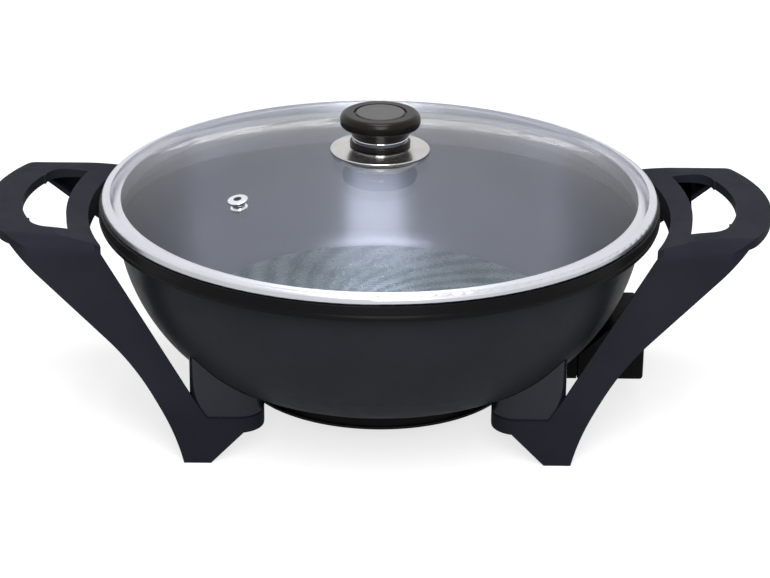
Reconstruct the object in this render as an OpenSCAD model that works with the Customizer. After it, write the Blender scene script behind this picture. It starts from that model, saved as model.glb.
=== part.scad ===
// Electric wok: cast pan on two handle-and-leg mouldings, lift-off glass lid
// and a plug-in temperature control.  Millimetres, +Z up.  The origin is on the
// table under the pan's axis, X runs from handle to handle.

/* [Pan] */
// Diameter of the pan over its rim
pan_d = 350; // [330:1:370]
// Height of the rim above the table
rim_height = 140; // [132:1:160]
// Height of the rim's flange
flange_h = 9; // [6:0.5:12]
// Width of the flange outside the wall
flange_w = 9; // [7:0.5:12]
// Radius of the bead along the flange's lower edge
bead_r = 2; // [1:0.25:3]
// Thickness of the side wall
pan_wall = 2.6; // [2:0.1:3.4]
// Slope of the wall under the flange, from level
wall_angle = 80; // [77:0.5:83]
// Height of the straight band of wall under the flange
straight_h = 16; // [12:1:20]
// Radius of the wall's upper curve
side_r = 118; // [112:1:124]
// Radius of the wall's lower curve
corner_r = 80; // [74:1:84]
// Slope at which the two curves meet
blend_angle = 50; // [47:1:53]
// Thickness of the floor that holds the heating element
floor_t = 15; // [13:0.5:17]
// Radius of the fillet round the cooking floor
floor_fillet = 32; // [26:1:38]

/* [Base] */
// Distance from the pan's edge in to the ring cast under it
ring_inset = 88; // [85:0.5:92]
// Wall of that ring
ring_t = 3; // [2:0.25:4]
// Height of the base, from the cover's face to the pan's underside
base_h = 10.4; // [9:0.2:12]
// Thickness of the base cover
cover_t = 1.5; // [1:0.1:2.5]
// How far the cover's edge stands out past the ring
cover_lip = 1.6; // [0.5:0.1:2.5]
// Distance from the ring in to the cover's screws
cover_screw_inset = 43; // [37:1:49]

/* [Heating element] */
// Diameter of the element's sheath
sheath_d = 7; // [6:0.2:8]
// Distance from the ring in to the element's horseshoe bend
element_inset = 25; // [21:0.5:29]
// Distance from the pan's edge in to the face of the terminal block
terminal_inset = 62; // [60:0.5:64]
// Distance between the two terminal pins
pin_spacing = 24; // [22:0.5:26]
// Diameter of the terminal pins
pin_d = 4.8; // [4:0.1:5.4]
// Length of the pins in front of the terminal block
pin_len = 23; // [18:1:26]
// Depth of the sensor's hole in the pan
sensor_depth = 22; // [16:1:26]
// Diameter of the sensor
sensor_d = 6; // [5:0.2:7]

/* [Handles and legs] */
// How far a handle reaches out past the rim
handle_reach = 70; // [65:0.5:80]
// Distance from the front legs' face to the rear legs' face
stance = 190; // [180:1:200]
// Half width of the handle plate at its top
shoulder_y = 70.5; // [67:0.5:73]
// Height above the table at which the legs start to lean in
knee_z = 40; // [34:1:48]
// How far the handle plate lies below the rim
plate_drop = 2; // [1:0.5:5]
// Depth of the plate's edge
plate_h = 6; // [5:0.5:8]
// Radius of the shoulder between the plate and a leg
shoulder_r = 14; // [10:1:18]
// Gap between the rim and the handle's curved inner edge
rim_gap = 7; // [5:0.5:9]
// Radius of the plate's rounded end
plate_end_r = 118; // [105:1:130]
// Radius of the plate's outer corners
plate_corner_r = 29; // [24:1:32]
// Width of the grip bar outside the finger opening
grip_w = 21.5; // [19:0.5:25]
// Half length of the finger opening
opening_half = 50.5; // [46:0.5:53]
// Width of the bridge between the rim side and the opening
bridge_w = 13.5; // [11:0.5:15]
// Depth of the curved skirt that faces the rim
skirt_h = 20; // [16:1:26]
// Depth of a leg from its face to its open back
leg_t = 14; // [11:0.5:18]
// Wall of the leg and handle mouldings
shell_t = 3; // [2.4:0.1:3.6]
// Thickness of the ribs inside the mouldings
rib_t = 2.2; // [1.6:0.1:3]
// Spacing of the ribs along a leg
rib_pitch = 21; // [16:1:28]
// Width of a foot
foot_w = 16.5; // [14:0.5:20]
// Distance from the pan's edge in to the middle of a foot
foot_inset = 64.7; // [61:0.1:69]
// Slope of a leg's outer edge above its bend
leg_out_angle = 42.2; // [40:0.1:44]
// Height at which the outer edge starts to bend
leg_bend_z = 78; // [68:1:86]
// Distance from the pan's edge in to that bend
leg_bend_inset = 11; // [5:1:17]
// Slope of a leg's inner edge
leg_in_angle = 57; // [55:0.1:58]
// How far a leg's inner side slants over the leg's depth
leg_draft = 5.5; // [3:0.5:6.5]
// Distance from the pan's edge in to where the inner edge meets the arm
leg_root_inset = 71.2; // [69:0.2:74]
// Thickness of the arm that reaches under the pan
arm_t = 9.5; // [8:0.5:11]

/* [Pillars] */
// Width of a pillar, along X
pillar_w = 44.7; // [41:0.5:48]
// Depth of a pillar, along Y
pillar_d = 34.5; // [31:0.5:38]
// Distance from the pan's edge in to the inner end of a pillar
pillar_inset = 105; // [103:0.5:108]
// How far a pillar's face lies behind the leg's face
pillar_set = 1.5; // [1:0.1:2.5]
// Radius of the pillar's inner corners
pillar_r_in = 16; // [12:0.5:17]
// Radius of the pillar's outer corners
pillar_r_out = 7; // [5:0.5:9]
// Diameter of the mounting screws
screw_d = 4; // [3.5:0.1:4.6]

/* [Lid] */
// Diameter of the lid over its metal band
lid_d = 347; // [343:1:349]
// Height of the metal band above the rim
band_h = 5.5; // [4.8:0.1:7]
// Width of the band over the edge of the glass
band_w = 5.2; // [4.6:0.1:6]
// Thickness of the band's sheet
band_t = 0.8; // [0.6:0.1:1]
// Depth of the band's skirt inside the pan
lid_skirt = 10; // [7:0.5:13]
// Height of the dome's top above the rim
dome_h = 31; // [27:0.5:36]
// Thickness of the glass
glass_t = 4; // [3.4:0.1:4.6]
// Distance of the steam vent from the lid's centre
vent_r = 107; // [95:1:115]
// Direction of the steam vent, from +X
vent_angle = 217.5; // [200:0.5:240]
// Diameter of the vent's flange
vent_d = 12.5; // [11:0.25:14]
// Diameter of the vent's hole
vent_hole_d = 5; // [4:0.25:6]

/* [Knob] */
// Diameter of the knob's cap
knob_d = 50; // [46:1:54]
// Height of the knob above the glass
knob_h = 24.5; // [23:0.5:28]
// Diameter of the steel flange under the knob
knob_flange_d = 62; // [56:1:68]
// Diameter of the knob's neck
neck_d = 35; // [32:0.5:38]
// Diameter of the inlaid top disc
top_disc_d = 30; // [26:0.5:34]
// Diameter of the washer under the glass
washer_d = 48; // [40:1:54]
// Diameter of the knob's screw
knob_screw_d = 5; // [4:0.1:6]

/* [Temperature control] */
// Width of the control, along Y
control_w = 60; // [56:1:64]
// Top of the control above its underside
control_h = 34; // [32:0.5:36]
// Length of the control outside the guard
control_len = 42; // [39:0.5:48]
// Height of the control's underside below the pan's underside
control_drop = 2.1; // [1.6:0.1:2.6]
// Length of the nose that enters the guard
nose_len = 9; // [7:0.5:10]
// Diameter of the temperature dial
dial_d = 28; // [25:0.5:30]
// Thickness of the dial
dial_t = 8; // [6:0.5:9]
// Diameter of the indicator lens
lens_d = 5; // [4:0.25:6]
// Diameter of the opening in the cord gland
cord_hole_d = 7; // [6:0.25:8]

/* [Fits] */
// Clearance between neighbouring pieces
gap = 0.3; // [0.25:0.05:0.4]

/* [Hidden] */

// Point on a circle round c at which the tangent has slope a
function on_arc(c, r, a) = c + r * [sin(a), -cos(a)];

// Pan profile, in (radius, height)
rim_z = rim_height;
rim_r = pan_d / 2;
wall_r = rim_r - flange_w;
flange_z = rim_z - flange_h;
side_top = [wall_r - straight_h / tan(wall_angle), flange_z - straight_h];
side_c = side_top - side_r * [sin(wall_angle), -cos(wall_angle)];
blend_p = on_arc(side_c, side_r, blend_angle);
corner_c = blend_p - corner_r * [sin(blend_angle), -cos(blend_angle)];
base_z = corner_c[1] - corner_r;
floor_z = base_z + floor_t;
side_in_r = side_r - pan_wall;
fillet_z = floor_z + floor_fillet;
floor_r = side_c[0] + sqrt(pow(side_in_r - floor_fillet, 2) - pow(side_c[1] - fillet_z, 2));
fillet_angle = atan2(floor_r - side_c[0], side_c[1] - fillet_z);
fillet_top = on_arc(side_c, side_in_r, fillet_angle);
side_in_top = on_arc(side_c, side_in_r, wall_angle);
wall_in_r = side_in_top[0] + (rim_z - side_in_top[1]) / tan(wall_angle);

// Height of the pan's outside surface at radius r
function under_z(r) =
    r < corner_c[0] ? base_z :
    r < blend_p[0] ? corner_c[1] - sqrt(pow(corner_r, 2) - pow(r - corner_c[0], 2)) :
    side_c[1] - sqrt(pow(side_r, 2) - pow(r - side_c[0], 2));

foot_z = base_z - base_h;
ring_r = rim_r - ring_inset;
ring_z = foot_z + cover_t;
cover_screw_r = ring_r - cover_screw_inset;
cover_screw_d = 3;
cover_vent_inset = 16;
cover_boss_d = 8;

// Heating element and terminal block
element_z = base_z + 1.4 + sheath_d / 2;
element_r = ring_r - element_inset;
block_x = rim_r - terminal_inset;
block_x0 = block_x - 21;
block_half = pin_spacing / 2 + 11;
block_z = base_z + 0.9;
bead_len = 3.5;
bend_r = 10;
bend_d = sheath_d + 0.4;
lap = 2;
bend_y = pin_spacing / 2 + bend_r;
bend_x = sqrt(pow(element_r + bend_r, 2) - pow(bend_y, 2));
end_angle = asin(bend_y / (element_r + bend_r));
pin_end_x = block_x + pin_len;
guard_screw_x = block_x - 10;
guard_screw_y = block_half - 3.5;
guard_screw_d = 3;

// Temperature control and its guard
control_z = base_z - control_drop;
control_top = control_z + control_h;
nose_x = block_x + 4;
control_x = nose_x + nose_len;
control_end_x = control_x + control_len;
guard_x0 = block_x - 15;
guard_half = control_w / 2;
nose_half = pin_spacing / 2 + 12;
nose_h = sheath_d + 2.6;
nose_z = element_z - nose_h / 2;
guard_floor = block_z - gap;
slope_x = control_x + 20;
slope_z = nose_z + nose_h + 4;
contact_d = pin_d + 2.4;
contact_len = pin_end_x + 2 - nose_x;
dial_z = control_z + control_h / 2;
dial_r = dial_d / 2;
well_depth = dial_t + 1;
spindle_d = 6;
spindle_len = 7;
parting_z = dial_z;
lens_y = -(control_w / 2 - 6.5);
gland_x = control_x + 16.5;
gland_z = (control_z + parting_z) / 2;
gland_len = 6;
gland_sink = 4;
lens_z = parting_z + 9;
lens_sink = 1.4;
case_screw_d = 3;
case_screw_len = 20;
case_screw_in = 7;
case_screw_out = 16;
inlet_depth = 12;
grip_hollow_r = 28;
grip_hollow_h = 20;

// Handles and legs
handle_r = rim_r + rim_gap;
plate_z = rim_z - plate_drop;
plate_end = rim_r + handle_reach;
foot_x = rim_r - foot_inset;
leg_bend_x = rim_r - leg_bend_inset;
leg_root_x = rim_r - leg_root_inset;
lean = atan((stance / 2 - shoulder_y) / (plate_z - knee_z));
crown_x = handle_r + 40;
crown_r = 175;
crown_lift = 0.15;
opening_bow = 97;
opening_corner_r = 13;
knee_r = 60;
plate_side = shoulder_y + plate_h * tan(lean) + 0.1;
end_cx = plate_end - plate_end_r;
corner_cy = plate_side - plate_corner_r;
corner_cx = end_cx + sqrt(pow(plate_end_r - plate_corner_r, 2) - pow(corner_cy, 2));
arm_z = foot_z;
arm_top = arm_z + arm_t;
leg_slope = (leg_out_angle + leg_in_angle) / 2;
edge_t = 1.5;
draft_slab = 40;
pillar_x = rim_r - pillar_inset;
pillar_x1 = pillar_x + pillar_w;
arm_x0 = pillar_x - 10;
pillar_y1 = stance / 2 - pillar_set;
pillar_cx = pillar_x + 21;
pillar_cy = pillar_y1 - 16.5;
pillar_r = norm([pillar_cx, pillar_cy]);
boss_d = screw_d + 8;
boss_z = under_z(pillar_r) - 7;
head_d = screw_d * 1.9;
head_h = screw_d * 0.65;
head_sink = 3.4;

// Lid
lid_r = lid_d / 2;
band_in_r = lid_r - band_w;
glass_r = lid_r - 3.3;
dome_rise = dome_h - band_h + 0.7;
dome_r = (pow(glass_r, 2) + pow(dome_rise, 2)) / (2 * dome_rise);
dome_c = rim_z + dome_h - dome_r;
dome_top = rim_z + dome_h;
lid_skirt_r = wall_in_r - (lid_skirt + 1) / tan(wall_angle) - 0.6;
vent_tilt = asin(vent_r / dome_r);

// Height of the dome's outside at radius r
function dome_z(r) = dome_c + sqrt(pow(dome_r, 2) - pow(r, 2));

// Knob
seat_z = dome_top + gap;
flange_rise = 3.4;
knob_top = dome_top + knob_h;
collar_z = seat_z + 6.2;
body_z = collar_z + 3;
cap_z = knob_top - 9;
washer_top = dome_z(washer_d / 2) - glass_t - gap;
washer_t = 3;

// ---------------------------------------------------------------------------
// Shared shapes

function unit(v) = v / norm(v);

// Corner of a polygon between its arc and its point; r is the arc's radius
module corner_piece(before, corner, after, r) {
    u = unit(before - corner);
    v = unit(after - corner);
    half = acos(u * v) / 2;
    reach = r / tan(half);
    centre = corner + unit(u + v) * r / sin(half);
    difference() {
        polygon([corner - (u + v) * 0.4, corner + u * reach, corner + v * reach]);
        translate(centre) circle(r = r, $fn = 96);
    }
}

// Polygon whose corners are rounded, outwards or inwards, by the radii given
module round_poly(points, radii) {
    n = len(points);
    function prev(i) = points[(i + n - 1) % n];
    function next(i) = points[(i + 1) % n];
    function turn(i) = cross(points[i] - prev(i), next(i) - points[i]);
    difference() {
        union() {
            polygon(points);
            for (i = [0 : n - 1])
                if (radii[i] > 0 && turn(i) < 0) corner_piece(prev(i), points[i], next(i), radii[i]);
        }
        for (i = [0 : n - 1])
            if (radii[i] > 0 && turn(i) > 0) corner_piece(prev(i), points[i], next(i), radii[i]);
    }
}

// Bar along X from a (y, z) outline
module along_x(x0, x1) {
    translate([x0, 0, 0]) rotate([90, 0, 90]) linear_extrude(x1 - x0) children();
}

// Bar along Y from an (x, z) outline
module along_y(y0, y1) {
    translate([0, y1, 0]) rotate([90, 0, 0]) linear_extrude(y1 - y0) children();
}

// Rod along X from x0 to x1
module rod(x0, x1, y, z, d) {
    translate([x0, y, z]) rotate([0, 90, 0]) cylinder(h = x1 - x0, d = d, $fn = 48);
}

// Copies for the four corners and for the two sides
module both_y() {
    children();
    mirror([0, 1, 0]) children();
}

module four_corners() {
    for (sx = [0, 1]) mirror([sx, 0, 0]) both_y() children();
}

// Pan head screw standing head down at z, its shank pointing up
module screw_up(d, head_d, head_h, length) {
    difference() {
        union() {
            cylinder(h = head_h, d = head_d, $fn = 48);
            cylinder(h = head_h + length, d = d, $fn = 48);
        }
        // cross recess
        for (a = [0, 90]) rotate(a) translate([-head_d * 0.3, -0.4, -1])
            cube([head_d * 0.6, 0.8, head_h * 0.6 + 1]);
    }
}

// ---------------------------------------------------------------------------
// Pan

// Half profile of the pan's outside, filled to the axis and grown by "grow"
module bowl_outside(grow = 0) {
    blend = on_arc(side_c, side_r + grow, blend_angle);
    top = on_arc(side_c, side_r + grow, wall_angle);
    under = base_z - grow;
    translate([0, under]) square([corner_c[0], blend[1] - under]);
    intersection() {
        translate(corner_c) circle(r = corner_r + grow, $fn = 240);
        translate([corner_c[0], under - 1]) square([corner_r + grow, blend[1] - under + 1]);
    }
    intersection() {
        translate(side_c) circle(r = side_r + grow, $fn = 240);
        translate([0, blend[1]]) square([side_c[0] + side_r + grow, top[1] - blend[1]]);
    }
    flange_x = top[0] + (flange_z - top[1]) / tan(wall_angle);
    polygon([[0, top[1]], top, [flange_x, flange_z], [0, flange_z]]);
}

// Half profile of the space inside the pan
module bowl_inside() {
    translate([0, floor_z]) square([floor_r, fillet_top[1] - floor_z]);
    intersection() {
        translate([floor_r, fillet_z]) circle(r = floor_fillet, $fn = 120);
        translate([floor_r, floor_z - 1]) square([floor_fillet, fillet_top[1] - floor_z + 1]);
    }
    intersection() {
        translate(side_c) circle(r = side_in_r, $fn = 240);
        translate([0, fillet_top[1]])
            square([side_c[0] + side_r, side_in_top[1] - fillet_top[1]]);
    }
    polygon([[0, side_in_top[1]], side_in_top,
        [wall_in_r + 1 / tan(wall_angle), rim_z + 1], [0, rim_z + 1]]);
}

// Rim flange with a bead along its lower edge
module rim_section() {
    translate([wall_in_r, flange_z]) square([rim_r - wall_in_r, flange_h]);
    translate([rim_r + 0.6 - bead_r, flange_z + bead_r]) circle(r = bead_r, $fn = 48);
}

// Sweeps sections, drawn round the origin, along the heating element's path: a
// horseshoe whose ends bend outwards and run straight along X.  The first child
// is the section of the tube, the second that of its two bends
module element_sweep(end_x) {
    rotate([0, 0, end_angle]) rotate_extrude(angle = 360 - 2 * end_angle, $fn = 120)
        translate([element_r, element_z]) children(0);
    both_y() {
        translate([bend_x, bend_y, 0]) rotate([0, 0, 180 + end_angle - lap])
            rotate_extrude(angle = 90 - end_angle + 2 * lap, $fn = 96)
                translate([bend_r, element_z]) children(1);
        translate([0, pin_spacing / 2, element_z]) along_x(bend_x, end_x) children(0);
    }
}

// Section of the channel that holds the element, open at the pan's underside
module groove_section(w) {
    circle(d = w, $fn = 48);
    translate([-w / 2, base_z - 0.5 - element_z]) square([w, element_z - base_z + 0.5]);
}

module cover_screw_places() {
    for (i = [0 : 2]) rotate(60 + 120 * i) translate([cover_screw_r, 0, 0]) children();
}

module pan_body() color([0.13, 0.14, 0.17]) {
    difference() {
        union() {
            rotate_extrude($fn = 180) {
                bowl_outside();
                rim_section();
                translate([ring_r - ring_t, ring_z]) square([ring_t, under_z(ring_r) + 0.6 - ring_z]);
            }
            // bosses under the pan for the pillars' screws
            four_corners() translate([pillar_cx, pillar_cy, boss_z])
                cylinder(h = under_z(pillar_r + boss_d / 2) + 1 - boss_z, d = boss_d, $fn = 48);
            // terminal block on the control's side
            translate([block_x0, -block_half, block_z])
                cube([block_x - block_x0, 2 * block_half, under_z(block_x) + 3 - block_z]);
            cover_screw_places() translate([0, 0, ring_z])
                cylinder(h = base_z + 1 - ring_z, d = cover_boss_d, $fn = 48);
        }
        rotate_extrude($fn = 180) bowl_inside();
        element_sweep(block_x + 1) {
            groove_section(sheath_d + 2 * gap);
            groove_section(bend_d + 2 * gap);
        }
        rod(block_x - sensor_depth, block_x + 1, 0, element_z, sensor_d + 2 * gap);
        four_corners() translate([pillar_cx, pillar_cy, boss_z - 1])
            cylinder(h = 9, d = screw_d + 0.1, $fn = 48);
        cover_screw_places() translate([0, 0, ring_z - 1])
            cylinder(h = 9, d = cover_screw_d + 0.1, $fn = 48);
        both_y() translate([guard_screw_x, guard_screw_y, block_z - 1])
            cylinder(h = 6.5, d = guard_screw_d + 0.1, $fn = 48);
    }
}

// ---------------------------------------------------------------------------
// Heating element, terminals and base

module heating_element() color([0.45, 0.42, 0.4]) {
    element_sweep(block_x - 0.5) {
        circle(d = sheath_d, $fn = 48);
        circle(d = bend_d, $fn = 48);
    }
}

module terminal_insulators() color([0.92, 0.9, 0.85]) {
    for (s = [-1, 1]) difference() {
        rod(block_x - 0.5, block_x - 0.5 + bead_len, s * pin_spacing / 2, element_z, sheath_d - 0.4);
        rod(block_x - 1, block_x + bead_len, s * pin_spacing / 2, element_z, pin_d + 0.2);
    }
}

module terminal_pins() color([0.8, 0.8, 0.82]) {
    for (s = [-1, 1]) {
        rod(block_x - 0.5, pin_end_x - pin_d / 2, s * pin_spacing / 2, element_z, pin_d);
        translate([pin_end_x - pin_d / 2, s * pin_spacing / 2, element_z]) sphere(d = pin_d, $fn = 48);
    }
}

module base_cover() color([0.1, 0.1, 0.12]) {
    difference() {
        rotate_extrude($fn = 180) {
            // pressed step and a stiffening bead round the middle
            translate([0, foot_z]) square([ring_r + cover_lip, cover_t]);
            translate([0, foot_z + cover_t - 0.01]) square([cover_screw_r - 14, 1]);
        }
        translate([0, 0, foot_z - 1]) cylinder(h = 2, r = cover_screw_r - 15.5, $fn = 120);
        cover_screw_places() translate([0, 0, foot_z - 1])
            cylinder(h = cover_t + 2, d = cover_screw_d + 0.6, $fn = 48);
        for (i = [0 : 11]) rotate(30 * i + 15) translate([ring_r - cover_vent_inset, 0, foot_z - 1])
            cylinder(h = cover_t + 2, d = 5, $fn = 32);
    }
}

module base_cover_screws() color([0.6, 0.6, 0.62]) {
    cover_screw_places() translate([0, 0, foot_z - 1.8]) screw_up(cover_screw_d, 6, 1.8, cover_t + 6);
}

// ---------------------------------------------------------------------------
// Guard round the terminals

module socket_guard() color([0.08, 0.08, 0.09]) {
    difference() {
        translate([guard_x0, -guard_half, control_z])
            cube([control_x - gap - guard_x0, 2 * guard_half, slope_z - control_z]);
        rotate_extrude($fn = 180) bowl_outside(gap);
        // room for the terminal block, then for the control's nose
        translate([guard_x0 - 1, -block_half - gap, guard_floor])
            cube([block_x + gap - guard_x0 + 1, 2 * (block_half + gap), slope_z - guard_floor + 1]);
        translate([block_x, -nose_half - gap, nose_z - gap])
            cube([nose_len + 6, 2 * (nose_half + gap), nose_h + 2 * gap]);
        both_y() translate([guard_screw_x, guard_screw_y, control_z - 1])
            cylinder(h = 5, d = guard_screw_d + 0.6, $fn = 48);
    }
}

module socket_guard_screws() color([0.6, 0.6, 0.62]) {
    both_y() translate([guard_screw_x, guard_screw_y, control_z - 1.8])
        screw_up(guard_screw_d, 5.6, 1.8, guard_floor - control_z + 5);
}

// ---------------------------------------------------------------------------
// Handle and leg mouldings

// Arch that the two legs and the plate make, in (y, z), drawn "inset" inside its sides
// and "roof" under its top
module arch(inset = 0, roof = 0) {
    foot_y = stance / 2 - inset;
    slant_y = shoulder_y - inset / cos(lean);
    top = plate_z - roof;
    knee = knee_z + (slant_y + (plate_z - knee_z) * tan(lean) - foot_y) / tan(lean);
    half = [[foot_y, -1], [foot_y, knee], [slant_y + roof * tan(lean), top]];
    corner_r = max(shoulder_r - inset, 1);
    round_poly(concat(half, [for (i = [2 : -1 : 0]) [-half[i][0], half[i][1]]]),
        [0, knee_r, corner_r, corner_r, knee_r, 0]);
}

// What is cut away so that the plate's top falls softly to the rim, in (r, z)
module crown_cut() {
    difference() {
        translate([handle_r - 12, plate_z - 12]) square([crown_x - handle_r + 12, 24]);
        translate([crown_x, plate_z + crown_lift - crown_r]) circle(r = crown_r, $fn = 360);
    }
}

// Side view of a leg, in (x, z), drawn "inset" inside its edges
module leg_outline(inset = 0) {
    foot_out = foot_x + foot_w / 2;
    foot_in = foot_x - foot_w / 2;
    along = [cos(leg_out_angle), sin(leg_out_angle)];
    outward = [sin(leg_out_angle), -cos(leg_out_angle)];
    bend = [leg_bend_x, leg_bend_z];
    chord = [foot_out, 0] - bend;
    bend_r = (chord * chord) / (2 * (chord * outward));
    bend_in = bend - outward * inset;
    side_in = inset / sin(leg_in_angle);
    top_x = bend_in[0] + (plate_z - bend_in[1]) / tan(leg_out_angle);
    in_top_x = leg_root_x + (plate_z - arm_top) / tan(leg_in_angle) + side_in;
    difference() {
        polygon([[foot_in + inset, inset], [foot_out - inset, inset], bend_in, [top_x, plate_z],
            [in_top_x, plate_z], [leg_root_x + side_in, arm_top - inset],
            [pillar_x + 12, arm_top - inset], [pillar_x + 12, arm_z + inset]]);
        translate(bend + outward * bend_r) circle(r = bend_r + inset, $fn = 240);
    }
}

// Plan of the handle plate, in (x, y), drawn "inset" inside its edges
module plate_plan(inset = 0) {
    side = plate_side - inset;
    root_x = handle_r * 0.8;
    spread = atan2(corner_cy, corner_cx - end_cx);
    reach = 2 * plate_end_r;
    difference() {
        union() {
            translate([root_x, -side]) square([corner_cx - root_x, 2 * side]);
            for (s = [-1, 1]) translate([corner_cx, s * corner_cy])
                circle(r = plate_corner_r - inset, $fn = 96);
            intersection() {
                translate([end_cx, 0]) circle(r = plate_end_r - inset, $fn = 240);
                polygon([[end_cx, 0], [end_cx + reach * cos(spread), -reach * sin(spread)],
                    [end_cx + reach * cos(spread), reach * sin(spread)]]);
            }
        }
        circle(r = handle_r + inset, $fn = 240);
    }
}

// Point at height z on the inner edge of the front right leg's face
function leg_edge(z) = [leg_root_x + (z - arm_top) / tan(leg_in_angle),
    -shoulder_y - (plate_z - z) * tan(lean), z];

// What the slant of that leg's inner side takes away; "inset" moves it into the leg
module leg_draft_cut(inset = 0) {
    low = leg_edge(knee_z);
    high = leg_edge(plate_z - plate_h);
    normal = unit(cross(high - low, [leg_draft, leg_t, 0]));
    intersection() {
        translate(low + [0, edge_t, 0] - normal * inset)
            rotate([0, acos(normal[2]), atan2(normal[1], normal[0])])
                translate([-stance, -stance, 0]) cube([2 * stance, 2 * stance, draft_slab]);
        translate([0, -stance, arm_top + 1]) cube([plate_end, stance, rim_z]);
    }
}

// What rounds the rear leg's outer edge, so that the plate's corner runs down into it
module leg_corner_cut() {
    side = shoulder_y + plate_h * tan(lean);
    reach = 2 * plate_corner_r;
    translate([corner_cx, side - (plate_corner_r - 0.1) / cos(lean), plate_z - plate_h])
        rotate([lean, 0, 0]) difference() {
            translate([0, 0, -reach]) cube([reach, reach, 1.5 * reach]);
            translate([0, 0, -reach - 1])
                cylinder(h = 1.5 * reach + 2, r = plate_corner_r, $fn = 120);
        }
}

// Finger opening: curved like the rim on one side, bowed outwards on the other
module finger_opening(grow = 0) {
    in_r = handle_r + bridge_w - grow;
    out_x = plate_end - grip_w + grow;
    half = opening_half + grow;
    bow_r = opening_bow + grow;
    outer_r = opening_corner_r + grow;
    outer_y = half - outer_r;
    outer_x = out_x - bow_r + sqrt(pow(bow_r - outer_r, 2) - pow(outer_y, 2));
    x0 = in_r * cos(asin(half / in_r)) - 1;
    difference() {
        union() {
            translate([x0, -half]) square([outer_x - x0, 2 * half]);
            for (s = [-1, 1]) translate([outer_x, s * outer_y]) circle(r = outer_r, $fn = 96);
            intersection() {
                translate([out_x - bow_r, 0]) circle(r = bow_r, $fn = 240);
                translate([outer_x - 1, -outer_y]) square([bow_r, 2 * outer_y]);
            }
        }
        circle(r = in_r, $fn = 240);
    }
}

// Plan of a pillar or of the arm's pad, in (x, y), on the front right
module pad_plan(grow = 0, set = 0, x1 = 0) {
    far = x1 > 0 ? x1 : pillar_x1;
    front = -(stance / 2 - set) - grow;
    back = -(pillar_y1 - pillar_d) + grow;
    x0 = pillar_x - grow;
    round_poly([[x0, front], [far + grow, front], [far + grow, back], [x0, back]],
        [pillar_r_in + grow, pillar_r_out + grow, pillar_r_out + grow, pillar_r_in + grow]);
}

// Ribbed hollow behind the face of a leg, in (x, z)
module leg_hollow() {
    difference() {
        intersection() {
            leg_outline(shell_t);
            translate([leg_root_x, arm_top + 8]) square([plate_end, plate_z - plate_h - arm_top - 11]);
        }
        for (i = [0 : floor((plate_z - arm_top) / rib_pitch) + 1])
            translate([leg_root_x + 14, arm_top + 12] + rib_pitch * i * [cos(leg_slope), sin(leg_slope)])
                rotate(leg_slope - 90 + (i % 2 == 0 ? 14 : -14)) square([120, rib_t], center = true);
    }
}

// Hollow under the handle plate, in (x, y)
module plate_hollow() {
    difference() {
        plate_plan(shell_t);
        finger_opening(shell_t - 0.4);
        for (a = [-16 : 8 : 16]) rotate(a) translate([handle_r, -rib_t / 2]) square([100, rib_t]);
    }
}

// Right-hand moulding: plate, two legs, two arms
module handle_stand() {
    difference() {
        union() {
            intersection() {
                along_x(arm_x0, plate_end + 1) arch();
                translate([0, 0, plate_z - plate_h]) linear_extrude(plate_h) plate_plan();
            }
            difference() {
                intersection() {
                    along_x(arm_x0, plate_end + 1) arch();
                    along_y(-stance, stance) leg_outline();
                    translate([0, -stance, -1]) cube([plate_end, 2 * stance, plate_z - plate_h + 2]);
                }
                along_x(arm_x0 - 1, plate_end + 2) arch(leg_t, plate_h - 2);
                both_y() {
                    leg_corner_cut();
                    leg_draft_cut();
                }
            }
            // curved skirt that faces the rim
            intersection() {
                difference() {
                    translate([0, 0, plate_z - skirt_h])
                        cylinder(h = skirt_h - 1, r = handle_r + shell_t, $fn = 240);
                    translate([0, 0, plate_z - skirt_h - 1])
                        cylinder(h = skirt_h + 2, r = handle_r + 0.4, $fn = 240);
                }
                along_x(arm_x0, plate_end + 1) arch(1, 1);
                translate([handle_r * 0.8, -shoulder_y - 2, 0])
                    cube([handle_r, 2 * shoulder_y + 4, rim_z]);
            }
            both_y() translate([0, 0, arm_z]) linear_extrude(arm_t)
                pad_plan(x1 = foot_x + foot_w / 2 + 4);
        }
        rotate_extrude($fn = 240) crown_cut();
        translate([0, 0, plate_z - leg_t - 2]) linear_extrude(leg_t + 3) finger_opening();
        // hollow backs
        intersection() {
            along_x(arm_x0 - 1, plate_end + 2) arch(shell_t, shell_t);
            translate([0, 0, plate_z - plate_h - 1])
                linear_extrude(plate_h + 1 - shell_t) plate_hollow();
            translate([0, 0, -shell_t]) difference() {
                cylinder(h = rim_z + shell_t, r = plate_end + 5, $fn = 240);
                rotate_extrude($fn = 240) crown_cut();
            }
        }
        difference() {
            intersection() {
                along_x(arm_x0 - 1, plate_end + 2) arch(shell_t, shell_t);
                along_y(-stance, stance) leg_hollow();
            }
            both_y() leg_draft_cut(shell_t);
        }
        both_y() {
            translate([0, 0, arm_top]) linear_extrude(rim_z) pad_plan(grow = gap, set = pillar_set);
            translate([pillar_cx, -pillar_cy, arm_z - 1]) {
                cylinder(h = arm_t + 2, d = screw_d + 0.6, $fn = 48);
                cylinder(h = head_sink + 1, d = head_d + 0.8, $fn = 48);
            }
        }
    }
}

module right_handle_stand() color([0.14, 0.15, 0.18]) handle_stand();
module left_handle_stand() color([0.14, 0.15, 0.18]) mirror([1, 0, 0]) handle_stand();

// ---------------------------------------------------------------------------
// Pillars between the arms and the pan

module pillar() {
    difference() {
        translate([0, 0, arm_top]) linear_extrude(under_z(norm([pillar_x1, pillar_y1])) - arm_top + 2)
            pad_plan(set = pillar_set);
        rotate_extrude($fn = 180) bowl_outside(gap);
        translate([pillar_cx, -pillar_cy, arm_top - 1]) cylinder(h = rim_z, d = screw_d + 0.6, $fn = 48);
        translate([pillar_cx, -pillar_cy, boss_z - gap])
            cylinder(h = rim_z, d = boss_d + 2 * gap, $fn = 48);
    }
}

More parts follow.
